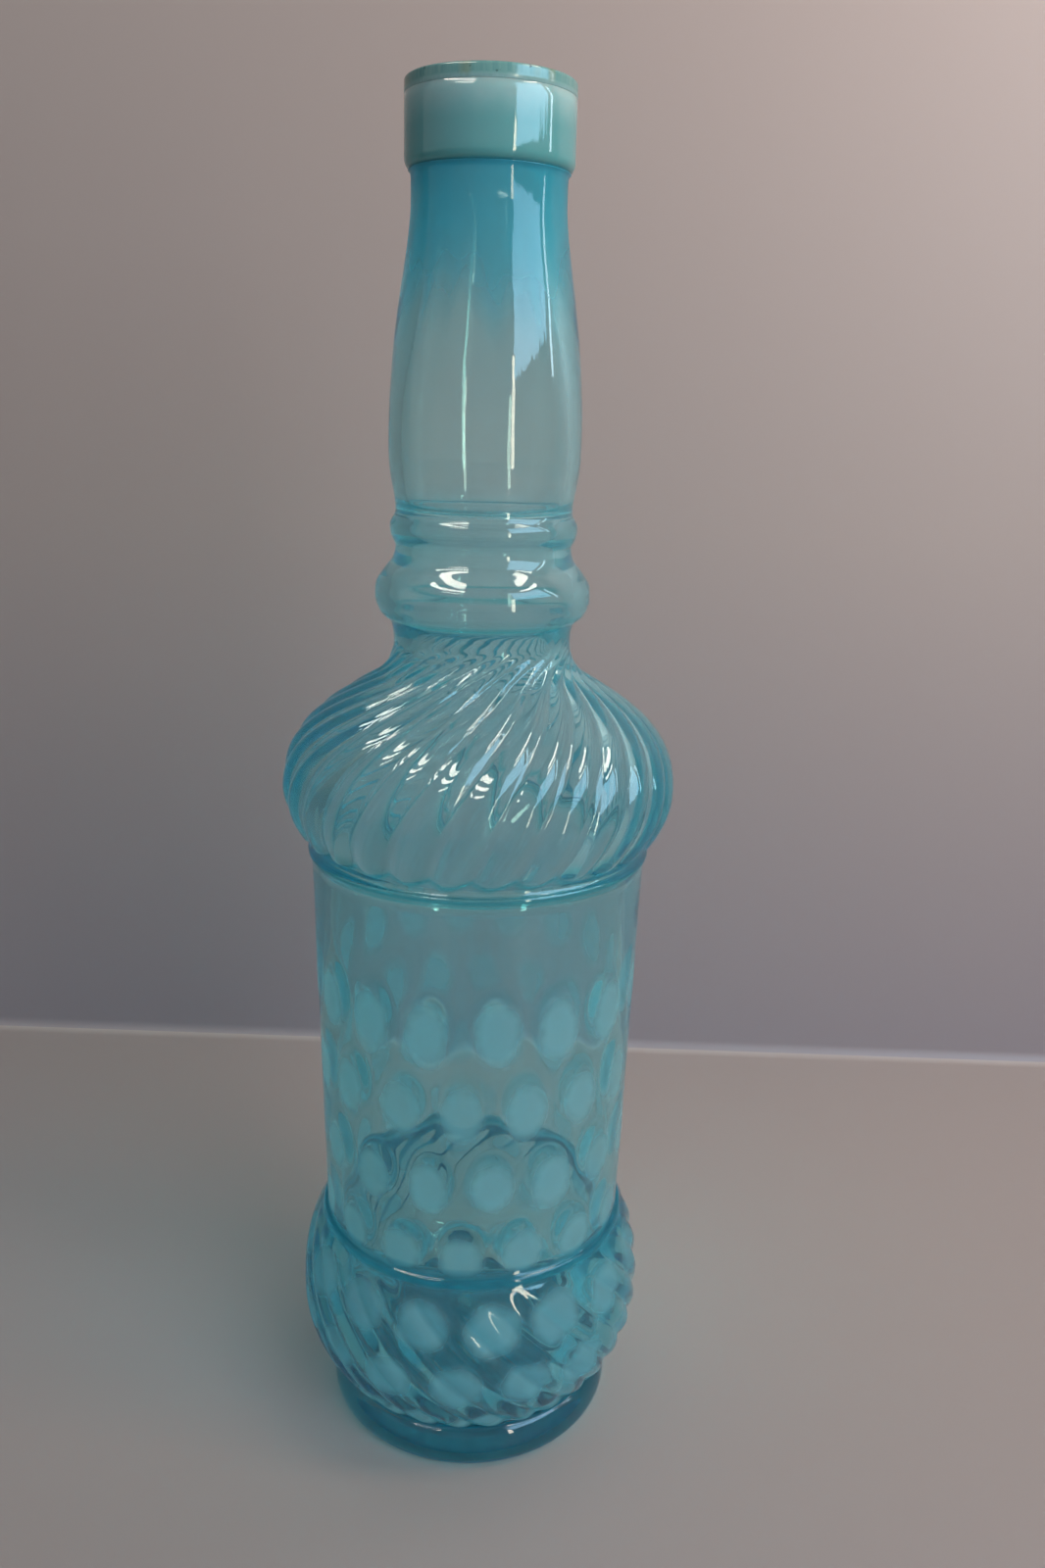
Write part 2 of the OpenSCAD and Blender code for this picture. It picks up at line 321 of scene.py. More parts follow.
def linear(hex_colour):
    """Linear red, green, blue and full alpha of an sRGB hex colour."""
    value = np.array([int(hex_colour[i:i + 2], 16) for i in (1, 3, 5)]) / 255
    straight_part, curved_part = value / 12.92, ((value + 0.055) / 1.055) ** 2.4
    return (*np.where(value <= 0.04045, straight_part, curved_part), 1.0)


def smooth_step(low, high, value):
    """0 below low, 1 above high, and a smooth cubic between."""
    t = np.clip((value - low) / (high - low), 0, 1)
    return t * t * (3 - 2 * t)


def in_and_out(come_in, go_out, z):
    """1 between two pairs of heights, and 0 below the first and above the second, with smooth steps."""
    return smooth_step(*come_in, z) * (1 - smooth_step(*go_out, z))


def soft_line(value, middle, half):
    """Bell curve of a value: 1 at the middle and 1/e at half a thickness from it."""
    return np.exp(-((value - middle) / half) ** 2)


def front_share(turn, back):
    """1 at the front of the bottle, and down to back at its back, by the cosine of the angle."""
    return back + (1 - back) * (0.5 + 0.5 * np.cos(np.radians(turn)))


def bend(a, b, first, second, steps):
    """Cubic curve from a to b, without b, whose two control points lie at shares of the way from a to b."""
    a, b = np.array(a, float), np.array(b, float)
    p, q = a + (b - a) * np.array(first), a + (b - a) * np.array(second)
    t = np.arange(steps)[:, None] / steps
    return (1 - t) ** 3 * a + 3 * (1 - t) ** 2 * t * p + 3 * (1 - t) * t * t * q + t ** 3 * b


def straight(a, b, steps):
    """Evenly spaced points from a to b, without b."""
    return bend(a, b, (1 / 3, 1 / 3), (2 / 3, 2 / 3), steps)


def swell(a, b, steps):
    """Curve that leaves a and reaches b upright."""
    return bend(a, b, (0, 0.5), (1, 0.5), steps)


def rise(a, b, steps):
    """Curve that leaves a slanted and reaches b upright."""
    return bend(a, b, (0.55, 0.25), (1, 0.55), steps)


def fall(a, b, steps):
    """Curve that leaves a upright and reaches b slanted."""
    return bend(a, b, (0, 0.45), (0.3, 0.78), steps)


def outer_outline():
    """Outer outline as rows of radius and height, from beside the underside's middle up to the neck's top."""
    foot_low = (FOOT_R - FOOT_EDGE, 0)
    foot_side = (FOOT_R, FOOT_EDGE)
    bulge_foot = (FOOT_R - FOOT_STEP, BULGE_Z)
    bulge = (BULGE_R, BULGE_MID_Z)
    lip = (CREASE_R + LIP_W, CREASE_Z - LIP_H)
    crease = (CREASE_R, CREASE_Z)
    barrel_top = (BARREL_TOP_R, SHOULDER_Z - BEAD_H)
    bead = (LEDGE_R, SHOULDER_Z - BEAD_H / 2)
    shoulder_foot = (BARREL_TOP_R, SHOULDER_Z)
    shoulder = (SHOULDER_R, SHOULDER_MID_Z)
    throat = (WAIST_R + THROAT[0], WAIST_Z - THROAT[1])
    waist = (WAIST_R, WAIST_Z)
    ring_foot = (WAIST_R + RING_FOOT[0], WAIST_Z + RING_FOOT[1])
    large_ring = (LARGE_RING_R, LARGE_RING_MID_Z)
    groove = (GROOVE_R, GROOVE_Z)
    small_ring = (SMALL_RING_R, SMALL_RING_MID_Z)
    neck_foot = (GROOVE_R, PINCH_Z)
    neck = (NECK_R, NECK_MID_Z)
    slim = (NECK_TOP_R, NECK_SLIM_Z)
    flare = (NECK_TOP_R, COLLAR_Z - FLARE[1])
    neck_top = (NECK_TOP_R + FLARE[0], COLLAR_Z - SEAM)
    return np.concatenate([
        bend((0, PUNT_H), (PUNT_R, 0), (0.45, 0), (0.8, 0.6), 6)[1:],
        straight((PUNT_R, 0), foot_low, 2),
        bend(foot_low, foot_side, (0.55, 0), (1, 0.45), 9),
        bend(foot_side, bulge_foot, (0, 0.55), (0.35, 0.95), 8),
        rise(bulge_foot, bulge, 18),
        fall(bulge, lip, 18),
        bend(lip, crease, (0, 0.6), (0.4, 1), 5),
        straight(crease, barrel_top, 32),
        bend(barrel_top, bead, (0.7, 0), (1, 0.5), 4),
        bend(bead, shoulder_foot, (0, 0.5), (0.3, 1), 4),
        bend(shoulder_foot, shoulder, (0.55, 0.32), (1, 0.66), 22),
        bend(shoulder, throat, (0, 0.56), (0.57, 0.765), 26),
        bend(throat, waist, (0.74, 0.3), (1, 0.6), 7),
        bend(waist, ring_foot, (0, 0.5), (0.5, 0.85), 3),
        bend(ring_foot, large_ring, (0.7, 0.15), (1, 0.55), 13),
        swell(large_ring, groove, 16),
        rise(groove, small_ring, 6),
        swell(small_ring, neck_foot, 6),
        bend(neck_foot, neck, (0, 0.25), (1, 0.5), 10),
        bend(neck, slim, (0, 0.5), (0.86, 0.75), 34),
        straight(slim, flare, 1),
        bend(flare, neck_top, (0, 0.7), (0.5, 1), 3),
        [neck_top],
    ])


def inner_outline():
    """Inner outline as rows of radius and height, from the mouth bore down to beside the floor's middle."""
    mouth = (MOUTH_R, COLLAR_Z - SEAM)
    bore_foot = (MOUTH_R, TOP_Z - MOUTH_DEPTH)
    neck = (NECK_BORE_R, NECK_MID_Z)
    flange_top = (PINCH_R + FLANGE[0], PINCH_Z + FLANGE[1])
    pinch = (PINCH_R, PINCH_Z)
    flange_low = (PINCH_R + FLANGE[0], PINCH_Z - FLANGE[1])
    small_ring = (SMALL_RING_BORE_R, SMALL_RING_MID_Z)
    groove = (WAIST_BORE_R, GROOVE_Z)
    large_ring = (LARGE_RING_BORE_R, LARGE_RING_MID_Z)
    waist = (WAIST_BORE_R, WAIST_Z)
    throat = (WAIST_BORE_R + THROAT_BORE[0], WAIST_Z - THROAT_BORE[1])
    shoulder = (SHOULDER_R - WALL, SHOULDER_MID_Z)
    barrel_top = (BARREL_TOP_R - WALL, SHOULDER_Z)
    crease = (CREASE_R - WALL, CREASE_Z)
    bulge = (BULGE_R - BULGE_WALL, BULGE_MID_Z)
    heel = (FOOT_R - FOOT_STEP - WALL - HEEL, BULGE_Z)
    return np.concatenate([
        straight(mouth, bore_foot, 2),
        bend(bore_foot, neck, (0.14, 0.25), (1, 0.5), 20),
        bend(neck, flange_top, (0, 0.5), (0.5, 0.98), 8),
        bend(flange_top, pinch, (0.2, 0.6), (0.7, 1), 3),
        bend(pinch, flange_low, (0.3, 0), (0.8, 0.4), 3),
        bend(flange_low, small_ring, (0.5, 0.05), (1, 0.5), 3),
        swell(small_ring, groove, 4),
        swell(groove, large_ring, 6),
        swell(large_ring, waist, 6),
        bend(waist, throat, (0, 0.4), (0.3, 0.7), 4),
        bend(throat, shoulder, (0.45, 0.335), (1, 0.48), 10),
        bend(shoulder, barrel_top, (0, 0.34), (0.45, 0.68), 6),
        straight(barrel_top, crease, 58),
        bend(crease, bulge, (0.05, 0.3), (1, 0.6), 12),
        bend(bulge, heel, (0, 0.45), (0.45, 0.75), 10),
        bend(heel, (0, FLOOR_Z), (0.12, 1.2), (0.5, 1), 6),
    ])


def shoulder_swirl(z):
    """Turn of the shoulder ribs at height z: an even part, and a part that grows with the fifth power."""
    t = np.clip((z - SHOULDER_Z) / (WAIST_Z - SHOULDER_Z), 0, 1)
    return SHOULDER_START + SHOULDER_TURN * t + WAIST_TURN * t ** 5


def column_swirl(z):
    """Turn of the mesh columns at height z, so that they run along the ribs.

    They follow the bulge ribs, drift over the barrel to the nearest shoulder rib, and follow that.
    """
    pitch = 360 / RIBS
    bulge = BULGE_TURN * np.clip((z - BULGE_Z) / (CREASE_Z - BULGE_Z), 0, 1)
    drift = (SHOULDER_START - BULGE_TURN + pitch / 2) % pitch - pitch / 2
    barrel = drift * np.clip((z - CREASE_Z) / (SHOULDER_Z - CREASE_Z), 0, 1)
    return bulge + barrel + shoulder_swirl(z) - SHOULDER_START


def lobe_edge(ridge, low, lobe):
    """Height of the scalloped edge of the ribs' lobes: at its tip on a crest, and higher in a valley."""
    return low + lobe[0] + lobe[1] * (1 - ridge)


def lobed_ribs(ridge, z, depth, low, lobe, come_in, go_out):
    """Depth of one zone's ribs below the outline: nothing on a crest above its lobe's edge, else all of it."""
    edge = lobe_edge(ridge, low, lobe)
    standing = smooth_step(edge - lobe[2], edge + lobe[2], z)
    return depth * in_and_out(come_in, go_out, z) * (1 - standing * ridge)


def rib_depth(ridge, z):
    """Depth of the ribs below the outline, from the rib profile (1 on a crest, 0 in a valley) and the height.

    A rib ends low down in a rounded lobe: below the lobe's edge the wall steps back by the whole depth. The
    shoulder ribs fade out at the waist, and the bulge ribs at the crease.
    """
    shoulder = lobed_ribs(
        ridge, z, SHOULDER_RIB, SHOULDER_Z, SHOULDER_LOBE, SHOULDER_RIB_IN, SHOULDER_RIB_OUT)
    bulge = lobed_ribs(ridge, z, BULGE_RIB, BULGE_Z, BULGE_LOBE, BULGE_RIB_IN, BULGE_RIB_OUT)
    return np.where(z > SHOULDER_Z, shoulder, np.where((z > BULGE_Z) & (z < CREASE_Z), bulge, 0))


def spot_places():
    """Turn, height, half width, half height and milkiness of every spot, an array of rows and spots for each.

    The rows are staggered by half a step, and each spot strays a little, as in hand-made glass.
    """
    centre_z, half_w, half_h = np.array(SPOT_ROWS).T[:, :, None]
    stagger = (np.arange(len(SPOT_ROWS))[:, None] % 2) * SPOT_STEP / 2
    stray = rng.uniform(-1, 1, (5, len(SPOT_ROWS), SPOTS))
    return (
        SPOT_TURN - stagger + SPOT_STEP * np.arange(SPOTS) + STRAY_TURN * stray[0],
        centre_z + STRAY_Z * stray[1],
        half_w * (1 + STRAY_SIZE * stray[2]),
        half_h * (1 + STRAY_SIZE * stray[3]),
        1 - STRAY_MILK + STRAY_MILK * stray[4],
    )


PLACES = spot_places()


def spot_reach(turn, r, z, drop=0):
    """Distance from the nearest spot's centre, 1 on the edge of its lens, and that spot's milkiness.

    The centre sits lower by drop, a share of the spot's half height.
    """
    turn, r, z = np.broadcast_arrays(turn, r, z)
    reach, milkiness = np.full(turn.shape, FAR_REACH), np.ones(turn.shape)
    for row_turn, row_z, half_w, half_h, row_milk in zip(*PLACES):
        nearest = np.round((turn - row_turn[0]) / SPOT_STEP).astype(int) % SPOTS
        across = (turn - row_turn[nearest] + 180) % 360 - 180
        wide = np.radians(across) * r / half_w[nearest]
        tall = (z - row_z[nearest]) / half_h[nearest] + drop
        row_reach = np.hypot(wide, tall)
        milkiness = np.where(row_reach < reach, row_milk[nearest], milkiness)
        reach = np.minimum(reach, row_reach)
    return reach, milkiness


def blown_waves(turn, z, shift):
    """Slight waves of a blown surface: sines that run slanted round the bottle, less at the foot and the lip."""
    angle = np.radians(turn) + shift
    waves = sum(share * np.sin(count * angle + z / pitch + phase) for share, count, pitch, phase in WAVE_SINES)
    calm = 1 - (1 - UPPER_WAVE) * smooth_step(*WAVE_CALM, z)
    return WAVE * in_and_out(WAVE_IN, WAVE_OUT, z) * calm * waves


def tool_ripples(z):
    """Low ripples left by the tool that shaped the large ring: a sine of the height that fades at its ends."""
    return RIPPLE * in_and_out(RING_IN, RIPPLE_OUT, z) * np.sin(2 * np.pi * z / RIPPLE_STEP)


def drips(turn):
    """Uneven lower edge of the haze round the neck: a sum of sines of the angle, about -2 to 2."""
    angle = np.radians(turn)
    return sum(share * np.sin(count * angle + phase) for share, count, phase in DRIP_SINES)


def turned_points(r, turn, z):
    """Points at radius r, angle turn and height z, where angle 0 is the front, -Y, and grows towards +X."""
    angle = np.radians(turn)
    return np.stack(np.broadcast_arrays(r * np.sin(angle), -r * np.cos(angle), z), -1)


def grid_faces(rows, columns):
    """Quads between neighbouring rows of a grid that closes round its columns."""
    row, column = np.meshgrid(np.arange(rows - 1), np.arange(columns), indexing="ij")
    right = (column + 1) % columns
    low, high = row * columns, (row + 1) * columns
    return np.stack([low + column, low + right, high + right, high + column], -1).reshape(-1, 4)


def pole_faces(ring, pole, columns):
    """Triangles from a pole to a ring, in the order of the ring's columns."""
    column = np.arange(columns)
    return np.stack([np.full(columns, pole), ring + column, ring + (column + 1) % columns], -1)


def add_mesh(name, points, quads, material, triangles=NO_TRIANGLES, attributes=None):
    """Smooth mesh object from arrays of points in millimetres and of faces, with values on its points."""
    mesh = bpy.data.meshes.new(name)
    loops = np.concatenate([quads.ravel(), triangles.ravel()])
    starts = np.concatenate([np.arange(len(quads)) * 4, len(quads) * 4 + np.arange(len(triangles)) * 3])
    mesh.vertices.add(len(points))
    mesh.vertices.foreach_set("co", (points * MM).astype(np.float32).ravel())
    mesh.loops.add(len(loops))
    mesh.loops.foreach_set("vertex_index", loops.astype(np.int32))
    mesh.polygons.add(len(starts))
    mesh.polygons.foreach_set("loop_start", starts.astype(np.int32))
    mesh.update(calc_edges=True)
    mesh.polygons.foreach_set("use_smooth", np.ones(len(starts), bool))
    for label, values in (attributes or {}).items():
        layer = mesh.attributes.new(label, "FLOAT", "POINT")
        layer.data.foreach_set("value", values.astype(np.float32))
    mesh.validate()
    mesh.materials.append(material)
    piece = bpy.data.objects.new(name, mesh)
    bpy.context.scene.collection.objects.link(piece)
    return piece


def add_node(tree, kind, inputs=None, **settings):
    """Node of a kind with its settings. An input is a value, a socket, or a node whose first output is used."""
    node = tree.nodes.new(kind)
    for key, value in settings.items():
        setattr(node, key, value)
    for key, value in (inputs or {}).items():
        if isinstance(value, bpy.types.Node):
            value = value.outputs[0]
        if isinstance(value, bpy.types.NodeSocket):
            tree.links.new(value, node.inputs[key])
        else:
            node.inputs[key].default_value = value
    return node


def new_tree(owner):
    """Emptied node tree of a material or a world."""
    owner.use_nodes = True
    owner.node_tree.nodes.clear()
    return owner.node_tree


def struck_aqua_glass():
    """Aqua glass blown in a mould and struck by reheating, fire-polished.

    The glass is blue-green by absorption: pale where the wall is thin and deep at the foot. Where it was struck
    it turns milky, so there its surface scatters light instead of passing it: pale on the spots and as a faint
    veil, and deeper teal up the neck. Painted shade makes a milky deep teal line along the crease and deepens
    the glass along its rims, behind each spot and on the worn underside. Lamps shine through the clear places.
    """
    material = bpy.data.materials.new("struck_aqua_glass")
    tree = new_tree(material)
    place = add_node(tree, "ShaderNodeTexCoord").outputs["Object"]
    reach, milkiness, even_haze_and_shade, tone, shade_and_stain, thin = (
        add_node(tree, ATTRIBUTE, attribute_name=label).outputs["Fac"]
        for label in ("spot_reach", "milkiness", "haze_and_shade", "tone", "shade_and_stain", "thin"))
    # the edge of a milky core wavers over about 5 mm
    waver = add_node(tree, NOISE, {"Vector": place, "Scale": 1 / (5 * MM), "Detail": 2.0})
    swing = add_node(tree, MATH, {0: waver, 1: 0.3, 2: -0.15}, operation="MULTIPLY_ADD")
    wavered = add_node(tree, MATH, {0: reach, 1: swing}, operation="ADD")
    core = add_node(
        tree, RANGE, {"Value": wavered, "From Min": 1.12, "From Max": 0.45}, interpolation_type="SMOOTHSTEP")
    spot = add_node(tree, MATH, {0: core, 1: milkiness}, operation="MULTIPLY")
    # the haze is cloudy over about 7 mm, drawn out upright
    drawn_out = add_node(tree, MAPPING, {"Vector": place, "Scale": (1, 1, 0.3)})
    cloud = add_node(tree, NOISE, {"Vector": drawn_out, "Scale": 1 / (7 * MM), "Detail": 1.0})
    cloudiness = add_node(tree, RANGE, {
        "Value": cloud, "From Min": 0.3, "From Max": 0.7, "To Min": 0.75, "To Max": 1.15})
    haze_and_shade = add_node(tree, MATH, {0: even_haze_and_shade, 1: cloudiness}, operation="MULTIPLY")
    opal = add_node(tree, MATH, {0: spot, 1: haze_and_shade}, operation="MAXIMUM")
    # clear glass, deepened on its surface by painted shade
    shaded_and_stained = add_node(tree, MIX, {
        FACTOR: shade_and_stain, FIRST: linear("#ffffff"), SECOND: linear("#40ecf8")}, data_type="RGBA")
    glass = add_node(tree, PRINCIPLED, {
        "Base Color": shaded_and_stained.outputs[MIXED], "Transmission Weight": 1.0, "Roughness": FIRE_POLISH,
        "IOR": GLASS_IOR})
    # milky glass, which throws half of the light back and lets half through
    milk = add_node(tree, MIX, {
        FACTOR: tone, FIRST: linear("#a2d2d8"), SECOND: linear("#4cbcd2")}, data_type="RGBA")
    # painted shade turns the milky glass deep teal as well
    deep = add_node(tree, MIX, {
        FACTOR: shade_and_stain, FIRST: milk.outputs[MIXED], SECOND: linear("#266a7c")}, data_type="RGBA")
    skin = add_node(tree, PRINCIPLED, {
        "Base Color": deep.outputs[MIXED], "Roughness": FIRE_POLISH, "IOR": GLASS_IOR})
    lit = add_node(tree, MIX, {
        FACTOR: tone, FIRST: linear("#aedce2"), SECOND: linear("#5cdcf0")}, data_type="RGBA")
    glow = add_node(tree, "ShaderNodeBsdfTranslucent", {"Color": lit.outputs[MIXED]})
    milky = add_node(tree, MIX_SHADER, {0: 0.5, 1: skin, 2: glow})
    struck = add_node(tree, MIX_SHADER, {0: opal, 1: glass, 2: milky})
    # lamps pass the clear and thin places
    lamps = add_node(tree, "ShaderNodeLightPath").outputs["Is Shadow Ray"]
    clear = add_node(tree, MATH, {0: 1.0, 1: opal}, operation="SUBTRACT")
    open_to_light = add_node(tree, MATH, {0: clear, 1: thin}, operation="MULTIPLY")
    through = add_node(tree, MATH, {0: lamps, 1: open_to_light}, operation="MULTIPLY")
    passing = add_node(tree, "ShaderNodeBsdfTransparent", {"Color": linear("#eff4f4")})
    surface = add_node(tree, MIX_SHADER, {0: through, 1: struck, 2: passing})
    volume = add_node(tree, "ShaderNodeVolumeAbsorption", {"Color": (0.0, 0.835, 0.91, 1), "Density": 93.0})
    add_node(tree, OUTPUT, {"Surface": surface, "Volume": volume})
    return material


def opal_lip_glass():
    """Opal glass of the tooled lip, fire-polished: milky aqua with a wet gloss.

    It was struck most just under the rim, so it is palest there and deepens to teal towards the neck, with faint
    clouds.
    """
    material = bpy.data.materials.new("opal_lip_glass")
    tree = new_tree(material)
    place = add_node(tree, "ShaderNodeTexCoord").outputs["Object"]
    height = add_node(tree, "ShaderNodeSeparateXYZ", {0: place}).outputs["Z"]
    # clouds about 6 mm across raise the height by up to 3 mm
    cloud = add_node(tree, NOISE, {"Vector": place, "Scale": 1 / (6 * MM), "Detail": 3.0})
    shifted = add_node(tree, MATH, {0: cloud, 1: 3 * MM, 2: height}, operation="MULTIPLY_ADD")
    pale = add_node(
        tree, RANGE, {"Value": shifted, "From Min": (RIM_Z - 5) * MM, "From Max": (RIM_Z + 1.5) * MM},
        interpolation_type="SMOOTHSTEP")
    deep = add_node(
        tree, RANGE, {"Value": shifted, "From Min": (COLLAR_Z + 5) * MM, "From Max": (COLLAR_Z + 1) * MM},
        interpolation_type="SMOOTHSTEP")
    body = add_node(tree, MIX, {
        FACTOR: pale, FIRST: linear("#65aaae"), SECOND: linear(PALE_OPAL)}, data_type="RGBA")
    colour = add_node(tree, MIX, {
        FACTOR: deep, FIRST: body.outputs[MIXED], SECOND: linear("#5ca6a8")}, data_type="RGBA")
    shader = add_node(tree, PRINCIPLED, {
        "Base Color": colour.outputs[MIXED], "Roughness": 0.04, "IOR": GLASS_IOR,
        "Subsurface Weight": 0.7, "Subsurface Radius": (0.4, 1.0, 1.1), "Subsurface Scale": 3 * MM})
    add_node(tree, OUTPUT, {"Surface": shader})
    return material


def ground_rim_glass():
    """Teal glass of the mouth's edge, ground flat: fine upright grinding streaks, dark nicks and olive stains.

    Low down it turns pale, as the collar below it.
    """
    material = bpy.data.materials.new("ground_rim_glass")
    tree = new_tree(material)
    place = add_node(tree, "ShaderNodeTexCoord").outputs["Object"]
    height = add_node(tree, "ShaderNodeSeparateXYZ", {0: place}).outputs["Z"]
    # streaks about 0.7 mm wide that run the whole height of the rim
    drawn_out = add_node(tree, MAPPING, {"Vector": place, "Scale": (1, 1, 0.12)})
    streak = add_node(tree, NOISE, {"Vector": drawn_out, "Scale": 1 / (0.7 * MM), "Detail": 2.0})
    teal = add_node(tree, MIX, {
        FACTOR: streak, FIRST: linear("#4f9597"), SECOND: linear("#86bcb8")}, data_type="RGBA")
    # olive stains about 5 mm across
    shade_and_stain = add_node(tree, NOISE, {"Vector": drawn_out, "Scale": 1 / (5 * MM), "Detail": 1.0})
    shaded_and_stained = add_node(tree, RANGE, {"Value": shade_and_stain, "From Min": 0.62, "From Max": 0.74, "To Max": 0.6})
    olive = add_node(tree, MIX, {
        FACTOR: shaded_and_stained, FIRST: teal.outputs[MIXED], SECOND: linear("#8a8a4c")}, data_type="RGBA")
    # nicks about 1 mm across
    nick = add_node(tree, NOISE, {"Vector": place, "Scale": 1 / (1 * MM), "Detail": 2.0})
    nicked = add_node(tree, RANGE, {"Value": nick, "From Min": 0.66, "From Max": 0.74, "To Max": 0.9})
    colour = add_node(tree, MIX, {
        FACTOR: nicked, FIRST: olive.outputs[MIXED], SECOND: linear("#23484c")}, data_type="RGBA")
    # the streaks make the pale part's edge ragged by up to 0.8 mm
    ragged = add_node(tree, MATH, {0: streak, 1: 0.8 * MM, 2: height}, operation="MULTIPLY_ADD")
    low = add_node(tree, RANGE, {
        "Value": ragged, "From Min": (RIM_Z + 1.3) * MM, "From Max": (RIM_Z + 0.5) * MM})
    faded = add_node(tree, MIX, {
        FACTOR: low, FIRST: colour.outputs[MIXED], SECOND: linear(PALE_OPAL)}, data_type="RGBA")
    shader = add_node(tree, PRINCIPLED, {
        "Base Color": faded.outputs[MIXED], "Transmission Weight": 0.1, "Roughness": 0.15, "IOR": GLASS_IOR})
    add_node(tree, OUTPUT, {"Surface": shader})
    return material


def matt_paint():
    """Matt paint of the table and the wall behind it, which can't be seen from the wall's back.

    The table is palest, and the wall is deeper and cooler low down than high up, which is painted shade.
    """
    material = bpy.data.materials.new("matt_paint")
    tree = new_tree(material)
    place = add_node(tree, "ShaderNodeTexCoord").outputs["Object"]
    height = add_node(tree, "ShaderNodeSeparateXYZ", {0: place}).outputs["Z"]
    # painted shade: the wall darkens and cools below this height
    low_down = add_node(tree, RANGE, {"Value": height, "From Min": LOW_SHADE_TOP * MM, "From Max": 0.0})
    wall_paint = add_node(tree, MIX, {
        FACTOR: low_down, FIRST: linear("#a29896"), SECOND: linear("#918a92")}, data_type="RGBA")
    # all that lies lower than 1 mm is the table
    on_table = add_node(tree, MATH, {0: height, 1: 1 * MM}, operation="LESS_THAN")
    paint = add_node(tree, MIX, {
        FACTOR: on_table, FIRST: wall_paint.outputs[MIXED], SECOND: linear("#aba19f")}, data_type="RGBA")
    shader = add_node(tree, PRINCIPLED, {"Base Color": paint.outputs[MIXED], "Roughness": 0.6})
    back = add_node(tree, "ShaderNodeNewGeometry").outputs["Backfacing"]
    passing = add_node(tree, "ShaderNodeBsdfTransparent")
    surface = add_node(tree, MIX_SHADER, {0: back, 1: shader, 2: passing})
    add_node(tree, OUTPUT, {"Surface": surface})
    return material


def outer_looks(outer, turn, ridge):
    """Values on the outside that the glass takes its looks from, each an array of rows and columns.

    spot_reach and milkiness make the spots' milky cores, the haze is the milkiness of other places, with painted
    shade as milky deep teal on the crease and the worn underside, tone is the depth of the milk's colour, and the
    deepening of the glass is painted shade along its rims, below the shoulder's lobes and on the worn underside.
    """
    r, z = outer[:, :1], outer[:, 1:]
    reach, milkiness = spot_reach(turn, r, z, CORE_DROP)
    strength = np.where(z < CREASE_Z, BULGE_MILK, SPOT_MILK) * front_share(turn, MILK_BACK)
    haze_foot = COLLAR_Z - NECK_HAZE_H - NECK_DRIP * drips(turn)
    dome = in_and_out(DOME_IN, DOME_OUT, z)
    band_z = lobe_edge(ridge, BULGE_Z, BULGE_LOBE) + LOBE_BAND_RISE
    lobe_band = soft_line(z, band_z, LOBE_BAND_HALF) * (z < BULGE_MID_Z)
    lobe_line_z = lobe_edge(ridge, SHOULDER_Z, SHOULDER_LOBE) - LOBE_LINE_DROP
    # painted shade: a milky deep teal line along the crease
    crease_line = soft_line(z, *CREASE_LINE)
    # the underside is worn dull and milky, and deep teal as painted shade where it stands on the table
    worn_and_shaded = UNDERSIDE_WEAR_AND_SHADE * (r < FOOT_R - FOOT_EDGE / 2) * (z < PUNT_H)
    hazes = (
        NECK_HAZE * smooth_step(haze_foot, COLLAR_Z - NECK_HAZE_FULL, z),
        VEIL * smooth_step(*VEIL_IN, z),
        RING_VEIL * in_and_out(RING_IN, RING_VEIL_OUT, z),
        dome * (SHOULDER_VEIL + RIB_VEIL * ridge),
        CREASE_SHADE * crease_line,
        lobe_band,
        worn_and_shaded,
    )
    # deep teal lines of painted shade on the rims and below the shoulder's lobes
    lines = [soft_line(z, *line) for line in (*RIM_SHADE_LINES, (lobe_line_z, LOBE_LINE_HALF))]
    upper_tone = smooth_step(*NECK_TONE_IN, z) + DOME_TONE * dome
    lower_tone = BULGE_TONE * (z < CREASE_Z) * (1 - lobe_band)
    return {
        "spot_reach": reach,
        "milkiness": strength * milkiness,
        "haze_and_shade": np.max(np.broadcast_arrays(*hazes), axis=0),
        "tone": upper_tone + worn_and_shaded + crease_line + lower_tone,
        "shade_and_stain": np.max(np.broadcast_arrays(*lines, worn_and_shaded), axis=0),
    }


def inner_looks(inner, lens, lens_share):
    """The same values on the inside: painted shade on the lenses and a milky line of it on the pinched bore's
    edge.
    """
    r, z = inner[:, :1], inner[:, 1:]
    # painted shade: a milky deep teal line round the pinched bore's edge
    pinch_line = soft_line(r, PINCH_R, PINCH_HALF) * soft_line(z, PINCH_Z, PINCH_HALF)
    pinch_line = np.broadcast_to(pinch_line, lens.shape)
    return {
        "spot_reach": np.full(lens.shape, FAR_REACH),
        "milkiness": np.zeros(lens.shape),
        "haze_and_shade": PINCH_SHADE * pinch_line,
        "tone": pinch_line,
        # painted shade deepens the lenses, for the shaded side of the spots' milky cores
        "shade_and_stain": LENS_SHADE * lens_share * (1 - smooth_step(*LENS_SHADE_OUT, lens)) + pinch_line,
    }


